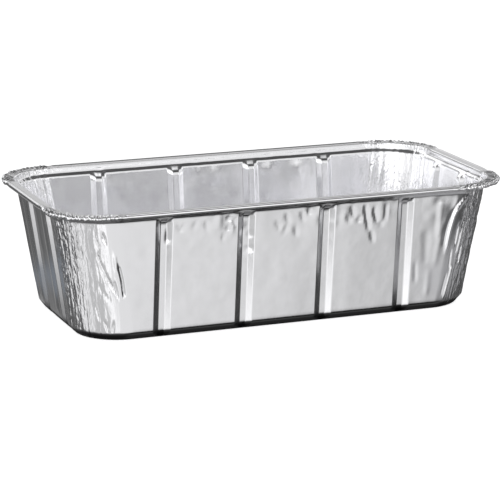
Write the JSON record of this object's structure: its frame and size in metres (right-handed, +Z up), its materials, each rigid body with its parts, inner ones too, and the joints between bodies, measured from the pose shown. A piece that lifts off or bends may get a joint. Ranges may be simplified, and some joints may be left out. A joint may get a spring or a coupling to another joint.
{
  "type": "foil loaf pan",
  "caption": "Oblong deep baking pan pressed from one sheet of foil, with ribbed walls, gathered corners, a flat rim and a rolled edge.",
  "frame": {"origin": "centre of the flat base, on the surface that the pan rests on", "axes": "+X along the length, +Y across the width, +Z up towards the open top"},
  "size_m": [0.3174, 0.166, 0.0872],
  "materials": {
    "foil": "bright rolled foil, unpainted"
  },
  "bodies": {
    "root": {"foil_pan": "foil"}
  },
  "joints": []
}
